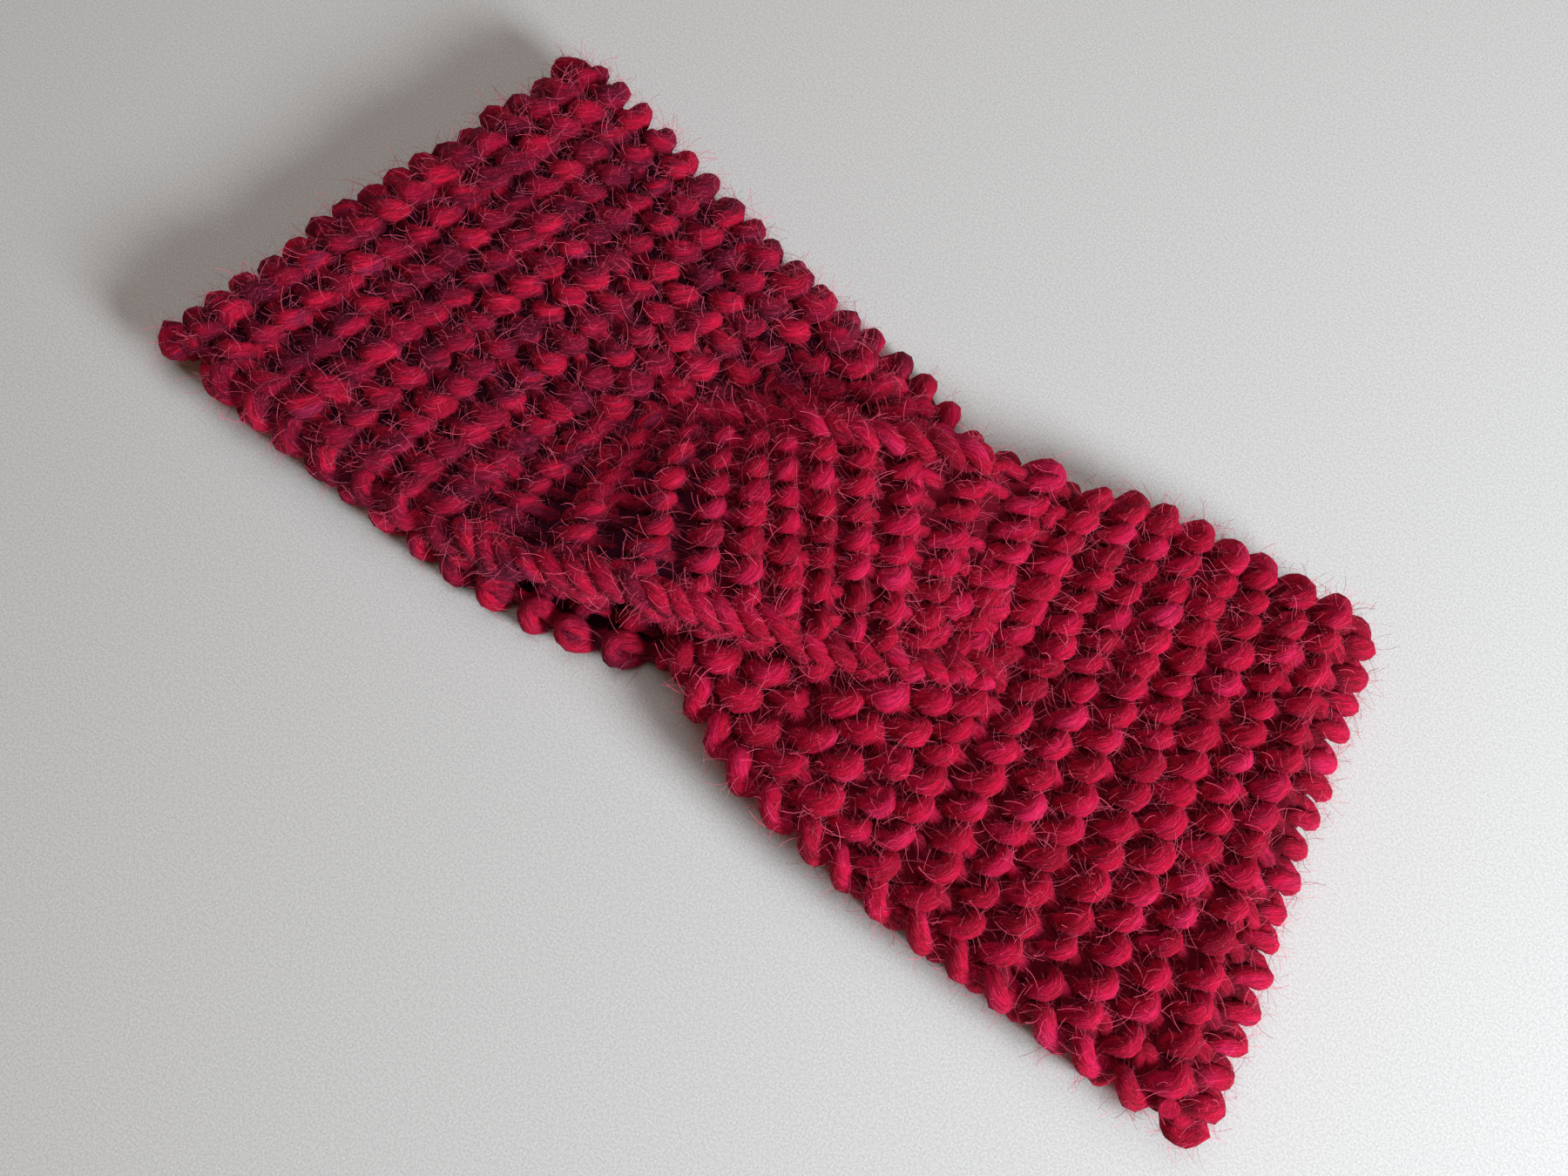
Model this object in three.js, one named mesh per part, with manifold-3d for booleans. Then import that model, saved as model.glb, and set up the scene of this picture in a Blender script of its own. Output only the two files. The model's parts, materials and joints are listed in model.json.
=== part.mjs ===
// A hand-knitted twist headband, lying flat: a closed loop of thick garter-stitch fabric, two layers deep.
// Millimetres, +Z up. X runs along the flattened loop, Y across the band, and Z = 0 is the table.
// The two ends of one long knitted strip are folded lengthwise, laid into each other and sewn. That gives
// the crossing at the front centre, where one strand passes over the other. Each mesh is one region of it.
import * as THREE from 'three';
import { mergeVertices } from 'three/addons/utils/BufferGeometryUtils.js';
import Module from 'manifold-3d';

const wasm = await Module();
wasm.setup();

// ---- driving dimensions ----
const HALF_LENGTH = 122;        // middle of the band, from the crossing to the outside of a side fold
const HALF_WIDTH = 51;          // half the width of the fabric at the side folds
const FOLD_LEAN = 15;           // degrees that each side fold leans outwards, towards -Y
const LAYER = 8;                // thickness of one layer of garter stitch
const LAYER_GAP = 0.5;          // air between the back and the front layer
const WAIST_BACK_EDGE = 15;     // how far the +Y edge draws in at the middle
const WAIST_FRONT_EDGE = 11;    // how far the -Y edge draws in at the middle
const WAIST_SPREAD = 46;        // length over which the edges draw in
const TWIST_HALF_LENGTH = 48;   // from the seam to where the strands part from a panel
const STRAND_HALF_WIDTH = 24;   // half the width of a folded strand at the seam
const UNDER_STRAND = 7;         // thickness of the lower strand at the seam
const OVER_STRAND = 7.5;        // thickness of the upper strand at the seam
const SEAM_YARN = 3;            // diameter of the sewing yarn
const SEAM_STITCHES = 5;        // waves that the sewing yarn makes across the strands
const OPEN_ANGLE = 60;          // degrees that a side fold opens
const CLEARANCE = 0.4;          // gap between neighbouring regions of fabric

// ---- heights and places that follow from them ----
const radians = THREE.MathUtils.degToRad;
const FRONT_LOW = LAYER + LAYER_GAP;
const FRONT_HIGH = FRONT_LOW + LAYER;
const HINGE_HEIGHT = LAYER + LAYER_GAP / 2;
const FOLD_RADIUS = HINGE_HEIGHT - 0.3;               // outside of a side fold, just clear of the table
const FOLD_CORE = LAYER_GAP / 2 + CLEARANCE;          // the crease that the fabric folds round
const OVER_LOW = FRONT_LOW + UNDER_STRAND + CLEARANCE;
const OVER_HIGH = OVER_LOW + OVER_STRAND;
const SEAM_HALF_GAP = SEAM_YARN / 2 + CLEARANCE;      // strand ends stop here on either side of the seam
const OPENING_BEVEL = LAYER * Math.tan(radians(OPEN_ANGLE / 2));   // room for the layers to tilt at x = 0
const SPLIT_Y = (WAIST_FRONT_EDGE - WAIST_BACK_EDGE) / 2;          // middle of the waist, where strands part

const waist = (x, depth) => depth * Math.exp(-((x / WAIST_SPREAD) ** 2));
const backEdge = (x) => HALF_WIDTH - waist(x, WAIST_BACK_EDGE);
const frontEdge = (x) => -HALF_WIDTH + waist(x, WAIST_FRONT_EDGE);
const foldAxis = (y) => HALF_LENGTH - FOLD_RADIUS - y * Math.tan(radians(FOLD_LEAN));
const mix = THREE.MathUtils.lerp;
const ease = (t) => t * t * (3 - 2 * t);

// A closed block between two surfaces, each a function of (u, v) over the unit square.
function block(stepsU, stepsV, lower, upper) {
  const positions = [];
  const faces = [];
  const row = stepsV + 1;
  for (const surface of [lower, upper]) {
    for (let i = 0; i <= stepsU; i++) {
      for (let j = 0; j <= stepsV; j++) positions.push(...surface(i / stepsU, j / stepsV));
    }
  }
  const half = (stepsU + 1) * row;
  const quad = (a, b, c, d) => faces.push(a, b, c, a, c, d);
  for (let i = 0; i < stepsU; i++) {
    for (let j = 0; j < stepsV; j++) {
      const a = i * row + j;
      quad(a, a + 1, a + row + 1, a + row);
      quad(half + a, half + a + row, half + a + row + 1, half + a + 1);
    }
  }
  for (let i = 0; i < stepsU; i++) {
    const near = i * row;
    const far = near + stepsV;
    quad(near, near + row, half + near + row, half + near);
    quad(far, half + far, half + far + row, far + row);
  }
  for (let j = 0; j < stepsV; j++) {
    const last = stepsU * row + j;
    quad(j, half + j, half + j + 1, j + 1);
    quad(last, last + 1, half + last + 1, half + last);
  }
  const geometry = new THREE.BufferGeometry();
  geometry.setAttribute('position', new THREE.Float32BufferAttribute(positions, 3));
  geometry.setIndex(faces);
  return signedVolume(geometry) < 0 ? flipped(geometry) : geometry;
}

function signedVolume(geometry) {
  const p = geometry.attributes.position;
  const corners = [new THREE.Vector3(), new THREE.Vector3(), new THREE.Vector3()];
  let sum = 0;
  for (let i = 0; i < geometry.index.count; i += 3) {
    corners.forEach((corner, k) => corner.fromBufferAttribute(p, geometry.index.getX(i + k)));
    sum += corners[0].dot(corners[1].clone().cross(corners[2]));
  }
  return sum;
}

function flipped(geometry) {
  const faces = Array.from(geometry.index.array);
  for (let i = 0; i < faces.length; i += 3) [faces[i], faces[i + 1]] = [faces[i + 1], faces[i]];
  geometry.setIndex(faces);
  return geometry;
}

const toManifold = (geometry) => new wasm.Manifold(new wasm.Mesh({
  numProp: 3,
  vertProperties: new Float32Array(geometry.attributes.position.array),
  triVerts: new Uint32Array(geometry.index.array),
}));

function subtract(geometry, cutter) {
  const { vertProperties, triVerts } = toManifold(geometry).subtract(toManifold(cutter)).getMesh();
  const result = new THREE.BufferGeometry();
  result.setAttribute('position', new THREE.Float32BufferAttribute(vertProperties, 3));
  result.setIndex(Array.from(triVerts));
  return result;
}

// Half a turn about Z takes a left-hand piece of the crossing to its right-hand twin.
const turned = (geometry) => geometry.clone().rotateZ(Math.PI);
const mirrored = (geometry) => flipped(geometry.clone().scale(-1, 1, 1));

// ---- panels: the left one of each layer, from the crossing's side to its side fold ----
function backPanel() {
  const at = (z, inner) => (u, v) => {
    const nearX = -inner;
    const y = mix(frontEdge(mix(nearX, -HALF_LENGTH, u)), backEdge(mix(nearX, -HALF_LENGTH, u)), v);
    return [mix(nearX, -(foldAxis(y) - CLEARANCE), u), y, z];
  };
  return block(16, 4, at(0, CLEARANCE), at(LAYER, CLEARANCE + OPENING_BEVEL));
}

function frontPanel() {
  const at = (z) => (u, v) => {
    const guide = mix(-TWIST_HALF_LENGTH, -HALF_LENGTH, u);
    const y = mix(frontEdge(guide), backEdge(guide), v);
    return [mix(-TWIST_HALF_LENGTH, -(foldAxis(y) - CLEARANCE), u), y, z];
  };
  return block(12, 4, at(FRONT_LOW), at(FRONT_HIGH));
}

// ---- side fold: half a tube of fabric round the leaning hinge line ----
function sideFold() {
  const at = (radius) => (u, v) => {
    const angle = mix(Math.PI / 2, 1.5 * Math.PI, u);
    const y = mix(-HALF_WIDTH, HALF_WIDTH, v);
    return [-foldAxis(y) + radius * Math.cos(angle), y, HINGE_HEIGHT + radius * Math.sin(angle)];
  };
  return block(16, 4, at(FOLD_CORE), at(FOLD_RADIUS));
}

// ---- strands: half a panel's width each, running from the panel to the seam at the middle ----
const STRAND_START = -TWIST_HALF_LENGTH + CLEARANCE;

// The strand's half-width line at t, from the panel (0) to the seam (1); side is -1 for the -Y half.
function strandEdges(t, side) {
  const x = mix(STRAND_START, -SEAM_HALF_GAP, t);
  const outer = side < 0 ? frontEdge(STRAND_START) : backEdge(STRAND_START);
  const inner = SPLIT_Y - side * CLEARANCE / 2;
  const low = side < 0 ? outer : inner;
  const high = side < 0 ? inner : outer;
  return { x, low: mix(low, -STRAND_HALF_WIDTH, ease(t)), high: mix(high, STRAND_HALF_WIDTH, ease(t)) };
}

function underStrand(grow) {
  const at = (start, end, bevel) => (u, v) => {
    const edges = strandEdges(u, 1);
    const x = edges.x - bevel * u;
    return [x, mix(edges.low - grow, edges.high + grow, v), mix(start, end, u)];
  };
  const low = FRONT_LOW - grow;
  return block(12, 6, at(low, low, OPENING_BEVEL), at(FRONT_HIGH + grow, FRONT_LOW + UNDER_STRAND + grow, 0));
}

function overStrand() {
  const at = (start, end) => (u, v) => {
    const edges = strandEdges(u, -1);
    return [edges.x, mix(edges.low, edges.high, v), mix(start, end, ease(Math.min(1, 1.6 * u)))];
  };
  const whole = block(16, 6, at(FRONT_LOW, OVER_LOW), at(FRONT_HIGH, OVER_HIGH));
  return subtract(whole, underStrand(CLEARANCE));
}

// ---- sewing yarn: a run of stitches down the middle of the crossing ----
function seamYarn() {
  const reach = STRAND_HALF_WIDTH - SEAM_YARN;
  const lowest = FRONT_LOW + UNDER_STRAND * 0.6 + SEAM_YARN / 2;   // dips between the lower strand's ends
  const highest = OVER_HIGH - SEAM_YARN / 2;
  const middle = (lowest + highest) / 2;
  const swing = (highest - lowest) / 2;
  const points = [];
  for (let i = 0; i <= SEAM_STITCHES * 8; i++) {
    const t = i / (SEAM_STITCHES * 8);
    const z = middle + swing * Math.sin(t * SEAM_STITCHES * 2 * Math.PI);
    points.push(new THREE.Vector3(0, mix(-reach, reach, t), z));
  }
  const section = new THREE.Shape();
  section.absarc(0, 0, SEAM_YARN / 2, 0, 2 * Math.PI, false);
  const geometry = new THREE.ExtrudeGeometry(section, {
    steps: SEAM_STITCHES * 8, curveSegments: 4, bevelEnabled: false,
    extrudePath: new THREE.CatmullRomCurve3(points),
  });
  geometry.deleteAttribute('normal');
  geometry.deleteAttribute('uv');
  return mergeVertices(geometry, 1e-3);
}

// ---- assembly ----
const burgundyWool = new THREE.MeshStandardMaterial({ name: 'burgundy wool', color: '#6d1c30', roughness: 0.95 });
const crimsonWool = new THREE.MeshStandardMaterial({ name: 'crimson wool', color: '#a3142f', roughness: 0.95 });
const darkWool = new THREE.MeshStandardMaterial({ name: 'dark wool', color: '#4c1426', roughness: 0.95 });

const headband = new THREE.Group();
headband.name = 'twist_headband';

function add(name, geometry, material) {
  const mesh = new THREE.Mesh(geometry, material.clone());
  mesh.name = name;
  headband.add(mesh);
}

const leftBack = backPanel();
const leftFront = frontPanel();
const leftFold = sideFold();
const leftUnder = underStrand(0);
const leftOver = overStrand();

add('back_left_panel', leftBack, burgundyWool);
add('back_right_panel', mirrored(leftBack), crimsonWool);
add('left_side_fold', leftFold, burgundyWool);
add('right_side_fold', mirrored(leftFold), crimsonWool);
add('front_left_panel', leftFront, burgundyWool);
add('front_right_panel', mirrored(leftFront), crimsonWool);
add('under_strand_left', leftUnder, burgundyWool);
add('under_strand_right', turned(leftUnder), crimsonWool);
add('over_strand_left', leftOver, burgundyWool);
add('over_strand_right', turned(leftOver), crimsonWool);
add('seam_yarn', seamYarn(), darkWool);

export default headband;
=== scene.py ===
# %% [markdown]
# # A hand-knitted twist headband
# The real thing is one long strip of thick, fuzzy wool in garter stitch. Its two ends are folded, laid into
# each other and sewn, so that one strand crosses over the other at the front. It lies flat, two layers deep.
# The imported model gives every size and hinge. This lesson knits the wool round it, stitch by stitch.

# %% load the frame
import json
import math

import bpy
import numpy as np
from mathutils import Matrix, Vector


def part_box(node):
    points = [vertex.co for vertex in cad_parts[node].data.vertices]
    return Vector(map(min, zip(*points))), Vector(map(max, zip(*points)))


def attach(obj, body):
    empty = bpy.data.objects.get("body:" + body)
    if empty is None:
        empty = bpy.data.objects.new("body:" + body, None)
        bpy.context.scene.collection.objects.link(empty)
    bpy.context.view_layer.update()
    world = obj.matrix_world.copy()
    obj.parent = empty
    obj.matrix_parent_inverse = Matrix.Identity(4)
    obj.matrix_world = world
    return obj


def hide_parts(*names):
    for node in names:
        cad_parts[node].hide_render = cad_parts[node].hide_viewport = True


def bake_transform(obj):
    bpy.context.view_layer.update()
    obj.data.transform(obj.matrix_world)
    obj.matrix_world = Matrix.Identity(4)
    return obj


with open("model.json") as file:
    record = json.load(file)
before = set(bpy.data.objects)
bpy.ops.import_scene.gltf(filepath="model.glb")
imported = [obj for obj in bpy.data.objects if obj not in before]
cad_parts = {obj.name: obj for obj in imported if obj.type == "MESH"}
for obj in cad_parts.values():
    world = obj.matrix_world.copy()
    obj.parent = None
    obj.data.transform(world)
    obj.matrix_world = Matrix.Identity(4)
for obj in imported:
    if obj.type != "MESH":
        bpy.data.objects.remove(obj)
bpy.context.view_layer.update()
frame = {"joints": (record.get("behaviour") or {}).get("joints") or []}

# %% [markdown]
# ## The loop's own sizes
# Everything below works in millimetres and is turned to metres when a mesh is made. The hinge lines are where
# the fabric folds at its two sides, so they also say how far the folds lean.

# %% sizes read from the frame
MM = 0.001
joints = {joint["name"]: joint for joint in frame["joints"]}
left_hinge = joints["left_fold_open"]
panel_low, panel_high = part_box("back_left_panel")
LAYER = (panel_high[2] - panel_low[2]) / MM
HALF_WIDTH = panel_high[1] / MM
HINGE_X = -left_hinge["pos_m"][0] / MM
HINGE_Z = left_hinge["pos_m"][2] / MM
LEAN = left_hinge["axis"][0] / left_hinge["axis"][1]
FOLD_RADIUS = HINGE_Z - LAYER / 2
FOLD_ARC = math.pi * FOLD_RADIUS
LOOP = 4 * HINGE_X + 2 * FOLD_ARC
print(f"layer {LAYER:.1f}, hinge at {HINGE_X:.1f}, lean {LEAN:.3f}, loop {LOOP:.0f} mm round")

# %% sizes of the knitting
WALES = 16                      # stitches across the band
RIDGE_MM = 8.7                  # two rows make one ridge of garter stitch
ROWS = 2 * round(LOOP / RIDGE_MM)
ROW = LOOP / ROWS
STEPS = 16                      # points along the yarn in one stitch
YARN_RADIUS = 2.05              # mm; a chunky roving is about 4 mm thick
print(f"{WALES} stitches across, {ROWS} rows of {ROW:.2f} mm")

# %% [markdown]
# ## Edges of the fabric
# A knitted edge wanders, so each edge is a smooth line through a few places: x along the band, y across it.
# About half of the edges' places were worked out by a separate calculation from points along the real one's
# edges, and rounded, and the rest were written in around them. None is worked out from the sizes above, so
# they don't follow if the band is made wider or longer. The over strand climbs from the left panel's near
# half to the right panel's far half.

# %% smooth lines through given places
def smooth_line(places, spread=7.0):
    """A function of x that passes near the given (x, y) places, rounded over `spread` mm."""
    xs = np.arange(-200.0, 201.0)
    raw = np.interp(xs, [p[0] for p in places], [p[1] for p in places])
    reach = np.arange(-30, 31)
    weight = np.exp(-((reach / spread) ** 2))
    padded = np.pad(raw, 30, mode="edge")
    rounded = np.convolve(padded, weight / weight.sum(), mode="valid")
    return lambda x: np.interp(x, xs, rounded)


back_layer_far = smooth_line(
    [(-110, 51), (-60, 46), (-25, 41), (0, 40), (17, 34), (43, 38), (75, 46), (110, 49)])
back_layer_near = smooth_line(
    [(-130, -52), (-45, -52), (-24, -49), (-5, -42), (10, -41), (30, -47), (60, -52), (130, -51)])
over_near = smooth_line(
    [(-135, -52), (-79, -52), (-41, -47), (-20, -38), (0, -30), (18, -21), (39, -12), (56, -2)], 5)
over_far = smooth_line(
    [(-44, -12), (-34, -4), (-25, 4), (-10, 12), (6, 20), (23, 29), (36, 36), (63, 44), (110, 49)], 5)
under_near = smooth_line(
    [(-44, -12), (-30, -22), (-14, -32), (0, -39), (12, -46), (26, -51), (58, -53), (130, -51)], 5)
under_far = smooth_line(
    [(-110, 52), (-76, 47), (-44, 41), (-24, 38), (6, 28), (22, 22), (40, 10), (56, -2)], 5)
middle = smooth_line([(-120, 0), (-80, -2), (-44, -12), (44, -8), (56, -2), (80, 0), (120, 0)], 5)
print(f"over strand {float(over_far(0) - over_near(0)):.0f} mm wide at the middle of the twist")

# %% [markdown]
# ## How the strands cross
# The over strand lies on the under strand, so it stands highest at the middle and comes down where the two
# join a panel. Its far edge curls down, as a garter stitch edge does, and its rows lean over as it is pulled.

# %% sizes of the crossing
STRAND_FROM = 46.0    # the strands part from a panel this far from the middle
PIVOT_Y = -4.0        # rows of both strands turn about this line
OVER_SLANT = 0.8      # how far the over strand's rows lean at the middle
UNDER_SLANT = 0.25    # and the under strand's, the other way
RISE_FLAT = 14.0      # mm to either side of the middle where the crossing is at its full height
RISE_FALL = 32.0      # mm in which it comes down again
OVER_LIFT = 6.2       # mm that the over strand is lifted
OVER_CROWN = 1.6      # mm more along its own middle line
EDGE_CURL = 5.5       # mm that its folded edge curls down
CURL_FROM = 0.72      # share of its width where the curl starts
UNDER_SINK = 0.4      # mm that the under strand is pressed down
UNDER_TUCK = 2.4      # mm more at the edge that goes under
UNDER_SAG = 1.2       # mm more at its other edge
SOFTNESS = 0.8        # how much of the ripple the front layer takes


def rise(x):
    """1 in the middle of the crossing, falling to 0 where the strands part."""
    fall = ((np.abs(x) - RISE_FLAT) / RISE_FALL).clip(0, 1)
    return np.clip(1 - fall ** 2 * (3 - 2 * fall), 0, 1)


print(f"the crossing rises over {2 * (RISE_FLAT + RISE_FALL):.0f} mm of the band")

# %% [markdown]
# ## The fabric's middle surface
# `fabric(q, v, strand)` gives a point in space. q runs round the loop in mm, from the seam in the crossing to
# the left fold, along the back, round the right fold and to the seam again. v runs across, from 0 to 1.
# Every stitch is placed by it, so a cloth simulation isn't needed: the fold and the twist set the shape.

# %% rows that lean
def slanted(guide, slant, near, far, share):
    """Points on slanted rows, at `share` of the way from one edge line to the other."""
    ends = []
    for edge in (near, far):
        x = guide.copy()
        for _ in range(4):
            x = guide - slant * (edge(x) - PIVOT_Y)
        ends.append((x, edge(x)))
    x = ends[0][0] + (ends[1][0] - ends[0][0]) * share
    y = ends[0][1] + (ends[1][1] - ends[0][1]) * share
    return x, y


def ripple(x, y):
    """The slight waviness of soft fabric, in mm."""
    return (0.5 * np.sin(x / 17 + y / 29) + 0.4 * np.sin(x / 11 - y / 13 + 1.0)
            + 0.25 * np.sin(y / 7 + x / 41 + 2.0))


# %% the front layer
def front(guide, v, strand, side):
    """The front layer: strand is 'over', 'under', or 'panel' where the two are still one fabric."""
    left = np.full(guide.shape, side < 0)
    slant = LEAN * guide / HINGE_X
    height = np.full_like(guide, HINGE_Z + FOLD_RADIUS)
    bulge = np.clip(1 - (guide / STRAND_FROM) ** 2, 0, 1) ** 1.5
    if strand == "over":
        slant = slant + OVER_SLANT * bulge
        share = np.where(left, 2 * v, 2 * v - 1)
        x, y = slanted(guide, slant, over_near, over_far, share)
        folded = np.where(left, share, 1 - share)
        up = rise(x)
        curl = np.clip((folded - CURL_FROM) / (1 - CURL_FROM), 0, 1.3)
        height = height + up * (OVER_LIFT - EDGE_CURL * curl ** 2 + OVER_CROWN * (1 - (2 * share - 1) ** 2))
    elif strand == "under":
        slant = slant - UNDER_SLANT * bulge
        share = np.where(left, 2 * v - 1, 2 * v)
        x, y = slanted(guide, slant, under_near, under_far, share)
        inner = np.where(left, 1 - share, share)
        tucked = UNDER_SINK + UNDER_TUCK * np.clip(inner, 0, 1)
        height = height - rise(x) * tucked - UNDER_SAG * rise(x) * (1 - inner)
    else:
        near = lambda x: np.where(x < 0, over_near(x), under_near(x))
        far = lambda x: np.where(x < 0, under_far(x), over_far(x))
        lower = slanted(guide, slant, near, middle, 2 * v)
        upper = slanted(guide, slant, middle, far, 2 * v - 1)
        x = np.where(v < 0.5, lower[0], upper[0])
        y = np.where(v < 0.5, lower[1], upper[1])
    return np.stack([x, y, height + ripple(x, y) * SOFTNESS], axis=-1)


# %% the whole loop
def fabric(q, v, strand="panel"):
    """A point of the fabric's middle surface, in mm."""
    q, v = np.broadcast_arrays(np.asarray(q, float), np.asarray(v, float))
    start_side = -1 if np.mean(q) < LOOP / 2 else 1
    left_fold = q - HINGE_X
    back = left_fold - FOLD_ARC
    right_fold = back - 2 * HINGE_X
    last = right_fold - FOLD_ARC
    guide = np.where(last >= 0, HINGE_X - last, -q)
    points = front(np.clip(guide, -HINGE_X, HINGE_X), v, strand, start_side)
    span = np.clip(back - HINGE_X, -HINGE_X, HINGE_X)
    bx, by = slanted(span, LEAN * span / HINGE_X, back_layer_near, back_layer_far, v)
    on_back = np.stack([bx, by, HINGE_Z - FOLD_RADIUS + 0 * bx], axis=-1)
    folds = ((-1, left_fold / FOLD_RADIUS, -HINGE_X),
             (1, math.pi - right_fold / FOLD_RADIUS, HINGE_X))
    for side, turn, edge_guide in folds:
        x_top = front(np.full_like(q, edge_guide), v, "panel", side)
        turn = np.clip(turn, 0, math.pi)
        mixed = (1 - np.cos(turn)) / 2
        y = x_top[..., 1] * (1 - mixed) + slanted(
            np.full_like(q, edge_guide), LEAN * side, back_layer_near, back_layer_far, v)[1] * mixed
        x = side * (HINGE_X + FOLD_RADIUS * np.sin(turn)) - LEAN * side * (y - PIVOT_Y)
        z = HINGE_Z + FOLD_RADIUS * np.cos(turn)
        inside = (left_fold >= 0) & (back < 0) if side < 0 else (right_fold >= 0) & (last < 0)
        points = np.where(inside[..., None], np.stack([x, y, z], axis=-1), points)
    flat = (back >= 0) & (right_fold < 0)
    return np.where(flat[..., None], on_back, points)


def outward(q, v, strand):
    """The loop's outward normal."""
    along = fabric(q + 0.5, v, strand) - fabric(q - 0.5, v, strand)
    across = fabric(q, v + 0.01, strand) - fabric(q, v - 0.01, strand)
    normal = np.cross(across, along)
    return normal / np.linalg.norm(normal, axis=-1, keepdims=True)


seam = np.array([0.0])
over_top, under_top = fabric(seam, 0.25, "over")[0, 2], fabric(seam, 0.75, "under")[0, 2]
print(f"at the seam the over strand's middle is {over_top:.1f} mm up, the under one's {under_top:.1f} mm")

# %% [markdown]
# ## One yarn, stitch after stitch
# In garter stitch every second row shows its loops' heads and feet as a ridge, and the rows between show
# theirs on the other face. So one wave does it all: across by the stitch, back and forth by the row, and in
# and out of the fabric. The yarn turns at each edge and comes back as the next row.

# %% sizes of a stitch
rng = np.random.default_rng(7)
STITCH_SWAY = 0.7               # mm of sideways swing that rounds a loop
LOOP_SLANT = 1.1                # mm that a loop's head leans over to one side
LOOP_REACH = 0.56               # how many rows a loop reaches to either side of its own
HEAD_HEIGHT = 3.3               # mm that a ridge's loops stand out from the middle of the fabric
HEAD_SHARPNESS = 1.25           # above 1, the heads are narrower than the feet
FOOT_DEPTH = 1.7                # mm that the hidden side of a loop lies behind it
HEAD_LEAN = 0.75                # radians: the leg before the head shows, the one after it hides
EDGE_BULGE = 2.4                # mm that the yarn swings out where it turns
TURN_POINTS = 5                 # points along the yarn in that turn
TURN_SWELL = 1.15               # and how much thicker it is there
THIN, SWELL = 0.72, 0.40        # the yarn's share of its radius at a foot, and what a head adds
WANDER = {"across": 0.5, "along": 0.6, "height": 0.55, "radius": 0.13}    # how uneven a hand's stitches are

# The burgundy end and the crossing are knitted tighter, so their loops are upright.
UPRIGHT_SLANT = 0.1             # LOOP_SLANT there
UPRIGHT_REACH = 0.60            # LOOP_REACH there
UPRIGHT_SWELL = 0.08            # and how much thicker the yarn looks
UPRIGHT = {"panel": 0.0, "over": 0.6, "under": 0.2}
THICKNESS = {"panel": 1.0, "over": 0.86, "under": 1.0}   # the strand on top is pulled tight,
TIGHTNESS = {"panel": 1.0, "over": 0.84, "under": 1.0}   # so its yarn is thinner and its loops are shorter
print(f"a loop is {2 * LOOP_REACH * ROW:.1f} mm long and {2 * HALF_WIDTH / WALES:.1f} mm wide")


# %% one end of the strip is burgundy
CRIMSON_AT_SEAM, SEAM_FADE = 8, 20      # mm from the seam where burgundy starts, and mm in which it deepens
BACK_FADE = 24                          # mm at the middle of the back in which it ends


def tone_of(q):
    """0 is crimson and 1 is burgundy: the left half of the loop is the burgundy end of the strip."""
    past_back = np.clip((q - (LOOP / 2 - BACK_FADE / 2)) / BACK_FADE, 0, 1)
    from_seam = np.clip((q - CRIMSON_AT_SEAM) / SEAM_FADE, 0, 1)
    soft = lambda share: share * share * (3 - 2 * share)
    return soft(from_seam) * (1 - soft(past_back))


left_tone, right_tone = tone_of(HINGE_X), tone_of(LOOP - HINGE_X)
print(f"share of burgundy: {left_tone:.0f} at the left fold, {right_tone:.0f} at the right one")


# %% the yarn's path in one row
def row_path(row, middle, start, stop, strand):
    """One row's centre line at q = middle, from v = start to v = stop: points, radius, place and height."""
    stitches = round(abs(stop - start) * WALES)
    t = np.linspace(0, 2 * math.pi * stitches, stitches * STEPS + 1)
    face = 1 if row % 2 == 0 else -1
    place = t / (2 * math.pi)

    def wander(middle, amount):
        return np.interp(place, np.arange(stitches + 2) - 0.5, rng.normal(middle, amount, stitches + 2))

    width = 2 * HALF_WIDTH * abs(stop - start)
    upright = np.maximum(tone_of(middle), UPRIGHT[strand])
    slant = LOOP_SLANT + (UPRIGHT_SLANT - LOOP_SLANT) * upright
    reach = (LOOP_REACH + (UPRIGHT_REACH - LOOP_REACH) * upright) * TIGHTNESS[strand]
    sway = STITCH_SWAY * np.sin(2 * t) + slant * (np.cos(t) - 1) + wander(0, WANDER["across"])
    across = place / stitches + sway / width
    v = np.clip(start + (stop - start) * across, 0, 1)
    head = ((1 + np.cos(t + HEAD_LEAN)) / 2) ** HEAD_SHARPNESS
    q = middle - reach * ROW * np.cos(t) + wander(0, WANDER["along"])
    z = face * (HEAD_HEIGHT * head - FOOT_DEPTH * (1 - head)) + wander(0, WANDER["height"])
    radius = YARN_RADIUS * wander(1, WANDER["radius"]) * (THIN + SWELL * head)
    radius = radius * (1 + UPRIGHT_SWELL * upright) * THICKNESS[strand]
    points = fabric(q, v, strand) + z[:, None] * outward(q, v, strand)
    return points, radius, q, z / HEAD_HEIGHT


# %% rows joined by turns
def knit(first_row, count, q_from, q_to, start, stop, strand):
    """A continuous yarn over rows from q_from to q_to: points, radius, place and how far it stands out."""
    runs = []
    for row in range(first_row, first_row + count):
        a, b = (start, stop) if row % 2 == 0 else (stop, start)
        middle = q_from + (q_to - q_from) * (row - first_row + 0.5) / count
        run = row_path(row, middle, a, b, strand)
        if runs:
            end, begin = runs[-1][0][-1], run[0][0]
            side = end - runs[-1][0][-STEPS]
            side = side / max(np.linalg.norm(side), 1e-6)
            turn = np.linspace(0, 1, TURN_POINTS + 2)[1:-1, None]
            bow = end + (begin - end) * turn + side * EDGE_BULGE * np.sin(math.pi * turn)
            runs.append((bow, np.full(TURN_POINTS, YARN_RADIUS * TURN_SWELL),
                         np.full(TURN_POINTS, run[2][0]), np.ones(TURN_POINTS)))
        runs.append(run)
    return [np.concatenate(parts) for parts in zip(*runs)]


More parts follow.
